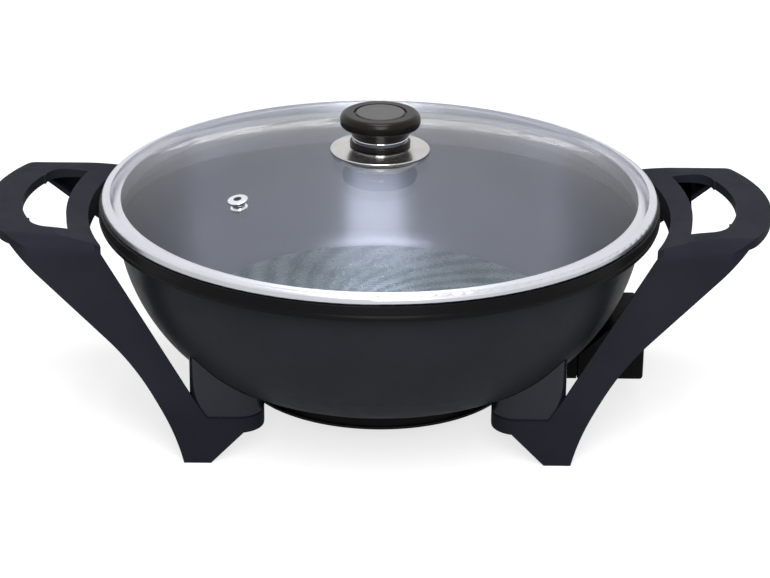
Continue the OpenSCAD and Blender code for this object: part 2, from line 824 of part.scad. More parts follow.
module front_right_pillar() color([0.1, 0.1, 0.13]) pillar();
module front_left_pillar() color([0.1, 0.1, 0.13]) mirror([1, 0, 0]) pillar();
module rear_right_pillar() color([0.1, 0.1, 0.13]) mirror([0, 1, 0]) pillar();
module rear_left_pillar() color([0.1, 0.1, 0.13]) mirror([0, 1, 0]) mirror([1, 0, 0]) pillar();

module pillar_screws() color([0.6, 0.6, 0.62]) {
    four_corners() translate([pillar_cx, pillar_cy, arm_z + head_sink - head_h])
        screw_up(screw_d, head_d, head_h, boss_z + 7 - arm_z - head_sink);
}

// ---------------------------------------------------------------------------
// Lid

// Half profile between two concentric domes
module dome_section(r_out, r_in, from, to) {
    intersection() {
        translate([0, dome_c]) difference() {
            circle(r = r_out, $fn = 720);
            circle(r = r_in, $fn = 720);
        }
        translate([from, rim_z - 5]) square([to - from, dome_h + 10]);
    }
}

// Places a shape on the dome, radius r from the lid's centre, square to the glass
module on_dome(angle, tilt) {
    translate([0, 0, dome_c]) rotate([0, tilt, angle]) translate([0, 0, dome_r]) children();
}

module lid_glass() color([0.75, 0.82, 0.86, 0.35]) {
    difference() {
        rotate_extrude($fn = 180) dome_section(dome_r, dome_r - glass_t, 0, glass_r);
        translate([0, 0, dome_top - 10]) cylinder(h = 20, d = knob_screw_d + 1.2, $fn = 48);
        on_dome(vent_angle, vent_tilt) translate([0, 0, -10])
            cylinder(h = 20, d = vent_hole_d + 3.6, $fn = 48);
    }
}

module lid_band() color([0.8, 0.81, 0.83]) {
    glass_over = dome_r + 0.05;
    glass_under = dome_r - glass_t - 0.05;
    lip_x = lid_skirt_r - band_t;
    rotate_extrude($fn = 180) {
        // rolled edge that lies on the rim and holds the glass
        difference() {
            round_poly([[glass_r - 1, rim_z], [lid_r, rim_z], [lid_r, rim_z + band_h],
                [glass_r - 1, rim_z + band_h]], [0, 1.2, 2.2, 0]);
            dome_section(glass_over, glass_under, 0, glass_r + 0.05);
        }
        // lips over and under the edge of the glass
        dome_section(glass_over + band_t, glass_over, band_in_r, glass_r + 1);
        intersection() {
            dome_section(glass_under, glass_under - band_t, lip_x, glass_r + 0.5);
            translate([0, rim_z]) square([lid_r, band_h]);
        }
        // skirt inside the pan
        translate([lip_x, rim_z - lid_skirt])
            square([band_t, dome_z(lid_skirt_r) - glass_t - 0.6 - rim_z + lid_skirt]);
    }
}

module steam_vent() color([0.82, 0.83, 0.85]) {
    on_dome(vent_angle, vent_tilt) rotate_extrude($fn = 64) difference() {
        union() {
            round_poly([[0, 0.1], [vent_d / 2, 0.1], [vent_d / 2, 1.5], [0, 1.5]], [0, 0, 0.9, 0]);
            translate([0, -glass_t - 1.2]) square([vent_hole_d / 2 + 1.5, glass_t + 1.4]);
            translate([0, -glass_t - 1.4]) square([vent_d / 2 - 1, 1.1]);
        }
        translate([0, -glass_t - 3]) square([vent_hole_d / 2, glass_t + 6]);
    }
}

// ---------------------------------------------------------------------------
// Knob

module knob_flange() color([0.78, 0.78, 0.8]) {
    r = knob_flange_d / 2;
    hole_r = knob_screw_d / 2 + 0.3;
    hub_r = neck_d / 2 - 4;
    edge_z = dome_z(r) + gap;
    top = seat_z + flange_rise;
    // dished plate whose edge curls down to the glass, with a hub round the hole
    rotate_extrude($fn = 120) difference() {
        round_poly([[hole_r, edge_z], [r, edge_z], [r, edge_z + 1.6], [neck_d / 2 + 3, top],
            [hole_r, top]], [0, 0.4, 0.7, 12, 0]);
        round_poly([[hub_r, edge_z - 1], [r - 1.2, edge_z - 1], [r - 1.2, edge_z + 0.9],
            [neck_d / 2 + 1, top - 1.2], [hub_r, top - 1.2]], [0, 0, 0.4, 6, 0]);
        translate([0, edge_z - 1]) square([hub_r + 1, seat_z - edge_z + 1]);
    }
}

// Ring round the knob's screw
module knob_ring(r, z, h, edge) {
    hole_r = knob_screw_d / 2 + 0.3;
    rotate_extrude($fn = 120)
        round_poly([[hole_r, z], [r, z], [r, z + h], [hole_r, z + h]], [0, edge, edge, 0]);
}

module knob_base_ring() color([0.07, 0.06, 0.06]) {
    ring_under = seat_z + flange_rise;
    knob_ring(neck_d / 2 + 1.4, ring_under, collar_z - ring_under, 0.8);
}

module knob_collar() color([0.85, 0.85, 0.87]) {
    knob_ring(neck_d / 2, collar_z, body_z - collar_z, 0.6);
}

module knob_body() color([0.09, 0.07, 0.06]) {
    r = knob_d / 2;
    disc_r = top_disc_d / 2;
    difference() {
        rotate_extrude($fn = 120) difference() {
            round_poly([[0, body_z], [neck_d / 2 + 0.1, body_z], [neck_d / 2 + 2.4, cap_z - 0.4],
                [r, cap_z], [r, knob_top], [0, knob_top]], [0, 0.5, 1.4, 3.4, 4, 0]);
            // groove and pocket in the top for the inlaid disc
            translate([disc_r + 0.15, knob_top - 1]) square([1.4, 2]);
            translate([0, knob_top - 1.2]) square([disc_r + 0.16, 2]);
        }
        translate([0, 0, body_z - 1]) cylinder(h = 9, d = knob_screw_d + 0.1, $fn = 48);
    }
}

module knob_top_disc() color([0.33, 0.32, 0.32]) {
    rotate_extrude($fn = 120) round_poly([[0, knob_top - 1.2], [top_disc_d / 2, knob_top - 1.2],
        [top_disc_d / 2, knob_top + 0.2], [0, knob_top + 0.2]], [0, 0, 0.5, 0]);
}

module knob_washer() color([0.86, 0.86, 0.84]) {
    hole_r = knob_screw_d / 2 + 0.3;
    rotate_extrude($fn = 120) difference() {
        translate([hole_r, washer_top - washer_t]) square([washer_d / 2 - hole_r, washer_t]);
        // hollow edge
        translate([washer_d / 2, washer_top - washer_t - 1]) circle(r = 2, $fn = 48);
    }
}

module knob_screw() color([0.72, 0.72, 0.74]) {
    head = 3;
    seat = washer_top - washer_t;
    translate([0, 0, seat - head]) screw_up(knob_screw_d, knob_screw_d * 2, head, body_z + 7 - seat);
}

// ---------------------------------------------------------------------------
// Temperature control

// Side view of the control's body, in (x, z), its top sloped to pass under the pan
module control_side() {
    round_poly([[control_x, control_z], [control_end_x, control_z], [control_end_x, control_top],
        [slope_x, control_top], [control_x, slope_z]], [0.8, 2, 3, 8, 0.8]);
}

module control_solid() {
    intersection() {
        along_y(-control_w / 2, control_w / 2) control_side();
        translate([0, 0, control_z]) linear_extrude(control_h)
            round_poly([[control_x, -control_w / 2], [control_end_x, -control_w / 2],
                [control_end_x, control_w / 2], [control_x, control_w / 2]], [1, 2.5, 2.5, 1]);
    }
}

// Openings shared by the two halves: dial well, spindle, lens, screws
module control_openings() {
    rod(control_end_x - well_depth, control_end_x + 1, 0, dial_z, dial_d + 1.2);
    rod(control_end_x - well_depth - spindle_len, control_end_x, 0, dial_z, spindle_d + 0.1);
    rod(control_end_x - lens_sink - 0.1, control_end_x + 1, lens_y, lens_z, lens_d + 0.1);
    control_screw_places() translate([0, 0, control_z - 1]) {
        cylinder(h = 26, d = case_screw_d + 0.1, $fn = 48);
        cylinder(h = 3.4, d = 6.2, $fn = 48);
    }
}

module control_screw_places() {
    for (x = [control_x + case_screw_in, control_end_x - case_screw_out])
        both_y() translate([x, control_w / 2 - 6, 0]) children();
}

module control_lower_housing() color([0.07, 0.07, 0.08]) {
    difference() {
        union() {
            intersection() {
                control_solid();
                translate([0, -control_w, control_z - 1])
                    cube([2 * control_end_x, 2 * control_w, parting_z - control_z + 1]);
            }
            translate([nose_x, -nose_half, nose_z]) cube([nose_len + 2, 2 * nose_half, nose_h]);
            // small feet under the outer end
            both_y() translate([control_end_x - 6, control_w / 2 - 5, control_z - 1.4])
                cylinder(h = 2, d = 4, $fn = 32);
        }
        control_openings();
        for (s = [-1, 1])
            rod(nose_x - 1, pin_end_x + 4, s * pin_spacing / 2, element_z, contact_d + 0.1);
        rod(nose_x - 1, control_x + 18, 0, element_z, sensor_d + 0.1);
        // inlet for the cord
        translate([gland_x, control_w / 2, gland_z]) rotate([-90, 0, 0]) {
            translate([0, 0, -inlet_depth]) cylinder(h = inlet_depth + 2, d = cord_hole_d, $fn = 48);
            translate([0, 0, -gland_sink]) cylinder(h = 6, d = cord_hole_d + 3.2, $fn = 48);
        }
    }
}

module control_upper_housing() color([0.08, 0.08, 0.09]) {
    difference() {
        intersection() {
            control_solid();
            translate([0, -control_w, parting_z]) cube([2 * control_end_x, 2 * control_w, control_h]);
        }
        control_openings();
        // shallow grip hollows in the sides
        both_y() translate([control_end_x - 22, control_w / 2 + grip_hollow_r - 1.4, control_top - 4])
            cylinder(h = grip_hollow_h, r = grip_hollow_r, $fn = 96, center = true);
    }
}

module control_sensor() color([0.85, 0.85, 0.87]) {
    tip = block_x - sensor_depth + 1.5;
    rod(tip + sensor_d / 2, control_x + 18, 0, element_z, sensor_d);
    translate([tip + sensor_d / 2, 0, element_z]) sphere(d = sensor_d, $fn = 48);
}

module socket_contacts() color([0.8, 0.66, 0.3]) {
    for (s = [-1, 1]) difference() {
        rod(nose_x + 0.5, nose_x + contact_len, s * pin_spacing / 2, element_z, contact_d);
        rod(nose_x - 1, nose_x + contact_len - 1, s * pin_spacing / 2, element_z, pin_d + 2 * gap);
    }
}

module control_screws() color([0.6, 0.6, 0.62]) {
    control_screw_places() translate([0, 0, control_z + 0.6])
        screw_up(case_screw_d, 5.6, 1.8, case_screw_len);
}

module control_dial() color([0.1, 0.1, 0.11]) {
    disc_t = dial_t - 3;
    // lying on its back; turned to face outwards
    translate([control_end_x - well_depth + gap, 0, dial_z]) rotate([0, 90, 0]) difference() {
        union() {
            rotate_extrude($fn = 96)
                round_poly([[0, 0], [dial_r, 0], [dial_r - 0.8, disc_t], [0, disc_t]], [0, 0.6, 1, 0]);
            // finger bar across the face
            intersection() {
                translate([-dial_r, -3, 1]) cube([dial_d, 6, dial_t - 1]);
                cylinder(h = dial_t, r = dial_r - 0.8, $fn = 96);
            }
        }
        // flutes round the edge
        for (i = [0 : 29]) rotate(12 * i) translate([dial_r + 0.6, 0, -1])
            cylinder(h = dial_t - 1.4, r = 1.1, $fn = 24);
        translate([0, 0, -1]) cylinder(h = 4, d = spindle_d + 0.1, $fn = 48);
    }
}

module dial_spindle() color([0.75, 0.75, 0.77]) {
    well_x = control_end_x - well_depth;
    rod(well_x - spindle_len + 0.5, well_x + gap + 2.9, 0, dial_z, spindle_d);
}

module indicator_lens() color([0.85, 0.25, 0.1, 0.8]) {
    translate([control_end_x - lens_sink, lens_y, lens_z]) rotate([0, 90, 0]) {
        cylinder(h = lens_sink + 0.2, d = lens_d, $fn = 48);
        translate([0, 0, lens_sink + 0.2]) intersection() {
            sphere(d = lens_d, $fn = 48);
            translate([0, 0, lens_d / 6]) cube([lens_d, lens_d, lens_d / 3], center = true);
        }
    }
}

module cord_gland() color([0.06, 0.06, 0.07]) {
    flange_y = gland_sink + gap / 3;
    end_y = gland_sink + gland_len;
    translate([gland_x, control_w / 2 - gland_sink, gland_z]) rotate([-90, 0, 0])
        rotate_extrude($fn = 64) difference() {
            union() {
                square([cord_hole_d / 2 + 1.5, flange_y + 0.1]);
                round_poly([[0, flange_y], [cord_hole_d / 2 + 3.4, flange_y],
                    [cord_hole_d / 2 + 2.2, end_y], [0, end_y]], [0, 0, 1.2, 0]);
            }
            square([cord_hole_d, 3 * end_y], center = true);
        }
}

// ---------------------------------------------------------------------------

pan_body();
heating_element();
terminal_pins();
terminal_insulators();
base_cover();
base_cover_screws();
socket_guard();
socket_guard_screws();
left_handle_stand();
right_handle_stand();
front_left_pillar();
front_right_pillar();
rear_left_pillar();
rear_right_pillar();
pillar_screws();
lid_glass();
lid_band();
steam_vent();
knob_flange();
knob_base_ring();
knob_collar();
knob_body();
knob_top_disc();
knob_screw();
knob_washer();
control_lower_housing();
control_upper_housing();
control_sensor();
socket_contacts();
control_screws();
control_dial();
dial_spindle();
indicator_lens();
cord_gland();
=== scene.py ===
"""Electric wok: finishes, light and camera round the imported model."""
import math

import bmesh
import bpy
from mathutils import Matrix, Vector


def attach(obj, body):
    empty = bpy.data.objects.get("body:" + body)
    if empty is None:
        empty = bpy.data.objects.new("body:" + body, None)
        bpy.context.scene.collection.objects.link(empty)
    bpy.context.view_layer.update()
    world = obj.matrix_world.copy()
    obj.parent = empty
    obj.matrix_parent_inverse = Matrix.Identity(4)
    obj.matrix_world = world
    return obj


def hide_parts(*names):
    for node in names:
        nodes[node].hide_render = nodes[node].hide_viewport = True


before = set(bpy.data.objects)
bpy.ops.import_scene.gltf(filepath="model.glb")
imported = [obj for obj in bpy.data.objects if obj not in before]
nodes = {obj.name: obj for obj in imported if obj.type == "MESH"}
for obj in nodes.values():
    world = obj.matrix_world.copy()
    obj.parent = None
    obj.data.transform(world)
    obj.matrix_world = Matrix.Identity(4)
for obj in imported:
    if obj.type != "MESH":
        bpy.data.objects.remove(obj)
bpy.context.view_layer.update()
scene = bpy.context.scene

MM = 0.001

# Cooking floor: height, then radii of its flat part, of its fillet and of its outer edge
FLOOR_Z = 46.1 * MM
FLOOR_FLAT = 106.6 * MM
FLOOR_FILLET = 32 * MM
FLOOR_EDGE = 121 * MM
FLOOR_RINGS, FLOOR_SPOKES = 190, 480
# Its fine rings and its curved ribs; the hub, the fades and the ribs' start are shares of the edge
RING_PITCH = 3.4 * MM
RING_DEPTH = 0.25 * MM
RIBS = 30
RIB_HEIGHT = 0.7 * MM
RIB_SHARPNESS = 2.5
RIB_SWEEP = 1.15
RIB_START = 0.2
HUB, RIB_FADE_FROM, RIB_FADE_IN, RIB_FADE_OUT, RING_FADE_OUT = 0.03, 0.25, 0.2, 0.06, 0.03

# Middle of the bowl's wall in section: two arcs, each the centre's radius and height and the reach
LOWER_ARC = (76.08 * MM, 111.06 * MM, 78.7 * MM)
UPPER_ARC = (46.97 * MM, 135.49 * MM, 116.7 * MM)
ARCS_MEET_Z = 60 * MM
# Where the cooking surface, the rim's flange and the base ring lie; the flange and the base ring
# get painted shade
INSIDE_MIN_Z = 40 * MM
INSIDE_MAX_R = 165.6 * MM
FLANGE_R = 170.5 * MM
FLANGE_Z = 130 * MM
BASE_RING_R = 105 * MM
BASE_RING_Z = 39.5 * MM

# Mouldings: edges sharper than this are rounded by this much
EDGE_ANGLE = math.radians(30)
EDGE_ROUNDING = 1.6 * MM
# Faces of a solid that tilt less than this are one flat face; a sharper crease stays an edge
FLAT_ANGLE = math.radians(0.6)
CREASE_ANGLE = math.radians(28)

# White surroundings: what the object gets from the sky, what eye and mirror see of it,
# and the table top's glow as a mirror sees it, with how much more the camera gets
SKY_LIGHT, SKY_SEEN = 0.38, 1.0
TABLE_GLOW, TABLE_GLOW_CAMERA = 0.25, 2.9
TABLE_HALF = 6

# Camera fitted to the photograph: place, then pitch, yaw and roll in degrees
CAMERA_PLACE = (0, -1.4017, 0.6742)
CAMERA_TILT = (23.09, 0.16, 0.57)
FOCAL_PIXELS, PHOTO_WIDTH = 2388.4, 770
SENSOR_WIDTH = 36


# ---------------------------------------------------------------------------
# Finishes

class Finish:
    """A procedural material, with short ways to add its nodes."""

    def __init__(self, name, metallic=0.0, specular=0.5, coat=0.0, coat_roughness=0.1):
        self.material = bpy.data.materials.new(name)
        self.material.use_nodes = True
        self.tree = self.material.node_tree
        self.tree.nodes.clear()
        self.shader = self.add("ShaderNodeBsdfPrincipled", Metallic=metallic)
        self.shader.inputs["Specular IOR Level"].default_value = specular
        self.shader.inputs["Coat Weight"].default_value = coat
        self.shader.inputs["Coat Roughness"].default_value = coat_roughness
        self.output = self.add("ShaderNodeOutputMaterial", Surface=self.shader.outputs[0])
        self.place = self.add("ShaderNodeTexCoord").outputs["Object"]
        parts = self.add("ShaderNodeSeparateXYZ", Vector=self.place)
        self.x, self.y, self.z = parts.outputs

    def add(self, kind, settings=None, **inputs):
        """A node; inputs are given by name, and a socket given there is linked."""
        made = self.tree.nodes.new(kind)
        for key, value in (settings or {}).items():
            setattr(made, key, value)
        for key, value in inputs.items():
            self.put(made, key.replace("_", " "), value)
        return made

    def put(self, made, key, value):
        socket = made.inputs[key]
        if isinstance(value, bpy.types.NodeSocket):
            self.tree.links.new(value, socket)
        else:
            socket.default_value = value

    def calc(self, operation, *values):
        """Result of a sum on numbers or sockets."""
        made = self.add("ShaderNodeMath", {"operation": operation})
        for i, value in enumerate(values):
            self.put(made, i, value)
        return made.outputs[0]

    def distance(self, across, up=None):
        """Length of the vector (across, up)."""
        squares = self.calc("MULTIPLY", across, across)
        if up is not None:
            squares = self.calc("ADD", squares, self.calc("MULTIPLY", up, up))
        return self.calc("SQRT", squares)

    def radius(self, x=0.0, y=0.0):
        """Distance from an upright axis through (x, y)."""
        return self.distance(self.calc("SUBTRACT", self.x, x), self.calc("SUBTRACT", self.y, y))

    def noise(self, scale, detail=3.0, roughness=0.5, vector=None, stretch=None):
        """Noise over the object's own place, or over vector."""
        vector = vector or self.place
        if stretch:
            vector = self.add("ShaderNodeMapping", Vector=vector, Scale=stretch).outputs[0]
        made = self.add("ShaderNodeTexNoise", Vector=vector, Scale=scale, Detail=detail,
                        Roughness=roughness)
        return made.outputs["Fac"]

    def spread(self, value, low, high):
        """Maps a noise, which mostly lies between 0.3 and 0.7, to low to high."""
        made = self.add("ShaderNodeMapRange", Value=value)
        for key, limit in (("From Min", 0.3), ("From Max", 0.7), ("To Min", low), ("To Max", high)):
            made.inputs[key].default_value = limit
        return made.outputs["Result"]

    def blend(self, share, first, second):
        """Colour between first and second."""
        made = self.add("ShaderNodeMix", {"data_type": "RGBA"})
        self.put(made, 0, share)
        self.put(made, 6, (*first, 1) if isinstance(first, tuple) else first)
        self.put(made, 7, (*second, 1) if isinstance(second, tuple) else second)
        return made.outputs[2]

    def relief(self, height, depth):
        """Bump: height 0 to 1 stands for depth in metres."""
        return self.add("ShaderNodeBump", Height=height, Strength=1.0, Distance=depth).outputs[0]

    def turned(self, amount):
        """Marks run round the Z axis, so highlights stretch across them."""
        self.shader.inputs["Anisotropic"].default_value = amount
        self.shader.inputs["Anisotropic Rotation"].default_value = 0.25
        round_z = self.add("ShaderNodeTangent", {"direction_type": "RADIAL", "axis": "Z"})
        self.put(self.shader, "Tangent", round_z.outputs[0])

    def set(self, **inputs):
        for key, value in inputs.items():
            self.put(self.shader, key.replace("_", " "), value)


def moulded(name, dark, light, rough=(0.35, 0.45), grain=0.00006, specular=0.35, coat=0.0):
    """Moulded plastic: faint flow marks in the colour, fine grain, uneven gloss."""
    f = Finish(name, specular=specular, coat=coat, coat_roughness=0.08)
    flow = f.noise(22, 4, 0.55)
    grain_noise = f.noise(1500, 2, 0.6)
    f.set(Base_Color=f.blend(f.spread(flow, 0, 1), dark, light),
          Roughness=f.spread(f.noise(90, 3), rough[0], rough[1]),
          Normal=f.relief(grain_noise, grain))
    return f.material


def metal(name, dark, light, rough=(0.2, 0.3), axis=None, lines=5200, depth=0.00001, stretch=None):
    """Worked metal: turned lines round an axis, or even marks that stretch can draw out."""
    f = Finish(name, metallic=1.0)
    if axis is not None:
        turn = f.add("ShaderNodeCombineXYZ", X=f.radius(*axis), Y=f.z).outputs[0]
        marks = f.noise(lines, 2, 0.6, vector=turn)
    else:
        marks = f.noise(lines, 2, 0.6, stretch=stretch or (1, 1, 1))
    stain = f.noise(35, 4)
    f.set(Base_Color=f.blend(f.spread(stain, 0, 1), dark, light),
          Roughness=f.spread(marks, rough[0], rough[1]),
          Normal=f.relief(marks, depth))
    return f.material


def pan_coating():
    """Dark sprayed coating outside, lighter slick coating on the cooking surface, painted shade on
    the rim's flange and the base ring.
    """
    f = Finish("pan_coating", specular=0.09)
    r, z = f.radius(), f.z
    low_r, low_z, low_reach = LOWER_ARC
    high_r, high_z, high_reach = UPPER_ARC
    from_low = f.distance(f.calc("SUBTRACT", r, low_r), f.calc("SUBTRACT", z, low_z))
    from_high = f.distance(f.calc("SUBTRACT", r, high_r), f.calc("SUBTRACT", z, high_z))
    low = f.calc("LESS_THAN", z, ARCS_MEET_Z)
    in_low = f.calc("MULTIPLY", low, f.calc("LESS_THAN", from_low, low_reach))
    in_high = f.calc("MULTIPLY", f.calc("SUBTRACT", 1.0, low),
                     f.calc("LESS_THAN", from_high, high_reach))
    inside = f.calc("MULTIPLY", f.calc("ADD", in_low, in_high),
                    f.calc("MULTIPLY", f.calc("GREATER_THAN", z, INSIDE_MIN_Z),
                           f.calc("LESS_THAN", r, INSIDE_MAX_R)))
    mottle = f.noise(28, 4)
    outer = f.blend(f.spread(mottle, 0, 1), (0.017, 0.0185, 0.0235), (0.021, 0.0225, 0.029))
    # Painted shade: the rim's flange and the base ring under the pan are coloured near black,
    # standing for the shade that falls there.
    flange = f.calc("MULTIPLY", f.calc("GREATER_THAN", r, FLANGE_R),
                    f.calc("GREATER_THAN", z, FLANGE_Z))
    base_ring = f.calc("MULTIPLY", f.calc("LESS_THAN", r, BASE_RING_R),
                       f.calc("LESS_THAN", z, BASE_RING_Z))
    outer = f.blend(f.calc("MAXIMUM", flange, base_ring), outer, (0.0035, 0.0035, 0.0042))
    around = f.calc("ARCTAN2", f.y, f.x)
    streaks = f.noise(1.0, 3, 0.6, vector=f.add(
        "ShaderNodeCombineXYZ", X=f.calc("MULTIPLY", around, 40.0),
        Y=f.calc("MULTIPLY", z, 12.0)).outputs[0])
    inner = f.blend(f.spread(streaks, 0, 1), (0.140, 0.150, 0.190), (0.146, 0.156, 0.198))
    f.set(Base_Color=f.blend(inside, outer, inner))
    rough_out = f.spread(f.noise(120, 3), 0.40, 0.48)
    rough_in = f.spread(streaks, 0.276, 0.282)
    mixed = f.add("ShaderNodeMix", {"data_type": "FLOAT"})
    f.put(mixed, 0, inside)
    f.put(mixed, 2, rough_out)
    f.put(mixed, 3, rough_in)
    f.set(Roughness=mixed.outputs[0], Metallic=f.calc("MULTIPLY", inside, 0.85))
    f.turned(0.8)
    f.set(Normal=f.relief(f.noise(60, 3, 0.5), 0.00002))
    return f.material


def cooking_floor_coating():
    """The slick coating on the ribbed cooking floor."""
    f = Finish("cooking_floor_coating", metallic=0.7)
    r = f.radius()
    rings = f.calc("SINE", f.calc("MULTIPLY", r, 2 * math.pi / RING_PITCH))
    wind = f.calc("MULTIPLY", RIB_SWEEP, f.calc("LOGARITHM", f.calc(
        "ADD", f.calc("DIVIDE", r, FLOOR_EDGE), RIB_START), math.e))
    ribs = f.calc("COSINE", f.calc("MULTIPLY", RIBS, f.calc(
        "ADD", f.calc("ARCTAN2", f.y, f.x), wind)))
    # The colour follows the rings and ribs, lighter along the rib crests, with random tone over it.
    marks = f.calc("ADD", f.calc("MULTIPLY", rings, 0.35), f.calc("MULTIPLY", ribs, 0.65))
    rib_ring_tone = f.calc("ADD", f.calc("MULTIPLY", marks, 0.30), f.noise(40, 4))
    f.set(Base_Color=f.blend(f.spread(rib_ring_tone, 0, 1), (0.165, 0.205, 0.235), (0.32, 0.375, 0.415)),
          Roughness=f.spread(f.noise(500, 2), 0.26, 0.33),
          Normal=f.relief(f.noise(2200, 2, 0.6), 0.00003))
    return f.material


def lid_glass():
    """Clear tempered glass: only the camera's rays meet it, and all others pass straight on."""
    f = Finish("lid_glass", coat=0.7, coat_roughness=0.03)
    haze = f.noise(9, 3)
    f.set(Base_Color=f.blend(f.spread(haze, 0, 1), (0.992, 0.998, 0.997), (0.997, 1.0, 0.999)),
          Roughness=f.spread(f.noise(30, 3), 0.0, 0.02),
          Transmission_Weight=1.0, IOR=1.02)
    clear = f.add("ShaderNodeBsdfTransparent", Color=(0.994, 0.998, 0.998, 1))
    path = f.add("ShaderNodeLightPath")
    passes = f.calc("MAXIMUM", 0.3, f.calc("SUBTRACT", 1.0, path.outputs["Is Camera Ray"]))
    both = f.add("ShaderNodeMixShader")
    f.put(both, 0, passes)
    f.put(both, 1, f.shader.outputs[0])
    f.put(both, 2, clear.outputs[0])
    f.put(f.output, "Surface", both.outputs[0])
    return f.material


def lamp_lens():
    """Red lens of the indicator."""
    f = Finish("lamp_lens", coat=0.5)
    cloud = f.spread(f.noise(300, 2), 0, 1)
    f.set(Base_Color=f.blend(cloud, (0.45, 0.03, 0.01), (0.6, 0.06, 0.02)),
          Roughness=f.spread(f.noise(200, 2), 0.12, 0.2), Transmission_Weight=0.35)
    return f.material


handle_plastic = moulded("handle_plastic", (0.016, 0.017, 0.024), (0.020, 0.021, 0.029),
                         rough=(0.42, 0.5), specular=0.02)
pillar_plastic = moulded("pillar_plastic", (0.009, 0.010, 0.017), (0.012, 0.014, 0.023),
                         rough=(0.2, 0.26), grain=0.00001, specular=0.3, coat=0.12)
black_plastic = moulded("black_plastic", (0.004, 0.0035, 0.004), (0.006, 0.0055, 0.006),
                        rough=(0.4, 0.5), specular=0.08)
knob_plastic = moulded("knob_plastic", (0.007, 0.0055, 0.0053), (0.010, 0.008, 0.0075),
                       rough=(0.2, 0.28), grain=0.00001, specular=0.12, coat=0.04)
knob_disc = moulded("knob_disc", (0.07, 0.069, 0.072), (0.085, 0.083, 0.086),
                    rough=(0.34, 0.44), grain=0.00002, specular=0.2)
dial_plastic = moulded("dial_plastic", (0.018, 0.018, 0.02), (0.025, 0.025, 0.028),
                       rough=(0.35, 0.45))
gland_rubber = moulded("gland_rubber", (0.008, 0.008, 0.009), (0.012, 0.012, 0.013),
                       rough=(0.6, 0.7), specular=0.2)
ceramic = moulded("terminal_ceramic", (0.62, 0.58, 0.5), (0.72, 0.69, 0.62), rough=(0.6, 0.75),
                  grain=0.0001)
painted_steel = moulded("painted_steel", (0.005, 0.005, 0.006), (0.008, 0.008, 0.0095),
                        rough=(0.3, 0.4), specular=0.15)
band_steel = metal("band_steel", (0.64, 0.645, 0.70), (0.69, 0.695, 0.75), rough=(0.26, 0.34),
                   axis=(0, 0), lines=700, depth=0.0000005)
vent_steel = metal("vent_steel", (0.72, 0.74, 0.78), (0.84, 0.86, 0.9), rough=(0.1, 0.2))
flange_steel = metal("flange_steel", (0.46, 0.45, 0.44), (0.60, 0.59, 0.58), rough=(0.16, 0.28),
                     axis=(0, 0), lines=2600, depth=0.000012)
collar_steel = metal("collar_steel", (0.75, 0.74, 0.75), (0.85, 0.84, 0.85), rough=(0.06, 0.12),
                     axis=(0, 0), lines=3000, depth=0.000002)
washer_steel = metal("washer_steel", (0.80, 0.80, 0.78), (0.9, 0.9, 0.88), rough=(0.35, 0.5),
                     axis=(0, 0), lines=2000)
screw_steel = metal("screw_steel", (0.5, 0.5, 0.52), (0.66, 0.66, 0.68), rough=(0.25, 0.4))
pin_metal = metal("pin_metal", (0.7, 0.7, 0.72), (0.82, 0.82, 0.84), rough=(0.1, 0.2),
                  stretch=(0.02, 1, 1))
contact_brass = metal("contact_brass", (0.62, 0.42, 0.16), (0.75, 0.55, 0.24), rough=(0.2, 0.35),
                      stretch=(0.02, 1, 1))
sheath_steel = metal("element_sheath", (0.24, 0.2, 0.18), (0.4, 0.36, 0.34), rough=(0.4, 0.55))

PAINT = {
    "pan_body": pan_coating(),
    "heating_element": sheath_steel,
    "terminal_pins": pin_metal,
    "terminal_insulators": ceramic,
    "base_cover": painted_steel,
    "base_cover_screws": screw_steel,
    "socket_guard": black_plastic,
    "socket_guard_screws": screw_steel,
    "left_handle_stand": handle_plastic,
    "right_handle_stand": handle_plastic,
    "front_left_pillar": pillar_plastic,
    "front_right_pillar": pillar_plastic,
    "rear_left_pillar": pillar_plastic,
    "rear_right_pillar": pillar_plastic,
    "pillar_screws": screw_steel,
    "lid_glass": lid_glass(),
    "lid_band": band_steel,
    "steam_vent": vent_steel,
    "knob_flange": flange_steel,
    "knob_base_ring": knob_plastic,
    "knob_collar": collar_steel,
    "knob_body": knob_plastic,
    "knob_top_disc": knob_disc,
    "knob_screw": screw_steel,
    "knob_washer": washer_steel,
    "control_lower_housing": black_plastic,
    "control_upper_housing": black_plastic,
    "control_sensor": pin_metal,
    "socket_contacts": contact_brass,
    "control_screws": screw_steel,
    "control_dial": dial_plastic,
    "dial_spindle": pin_metal,
    "indicator_lens": lamp_lens(),
    "cord_gland": gland_rubber,
}


def paint(piece, material):
    """Gives a piece one finish."""
    piece.data.materials.clear()
    piece.data.materials.append(material)


for name, material in PAINT.items():
    paint(nodes[name], material)


# ---------------------------------------------------------------------------
# Pieces that get more form than the solids

def new_piece(name, shape, body, material, stands_for=None):
    """Makes an object of a bmesh, sets its finish and body, and hides the node it replaces."""
    mesh = bpy.data.meshes.new(name)
    shape.to_mesh(mesh)
    shape.free()
    piece = bpy.data.objects.new(name, mesh)
    scene.collection.objects.link(piece)
    paint(piece, material)
    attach(piece, body)
    if stands_for:
        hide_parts(stands_for)
    return piece


def merged_copy(node):
    """Copy of a solid's mesh with whole flat faces and smooth curved ones."""
    shape = bmesh.new()
    shape.from_mesh(nodes[node].data)
    bmesh.ops.remove_doubles(shape, verts=shape.verts, dist=2e-6)
    bmesh.ops.dissolve_limit(shape, angle_limit=FLAT_ANGLE, verts=shape.verts,
                             edges=shape.edges)
    bmesh.ops.recalc_face_normals(shape, faces=shape.faces)
    for face in shape.faces:
        face.smooth = True
    for edge in shape.edges:
        if len(edge.link_faces) == 2:
            edge.smooth = edge.calc_face_angle(math.pi) < CREASE_ANGLE
    return shape


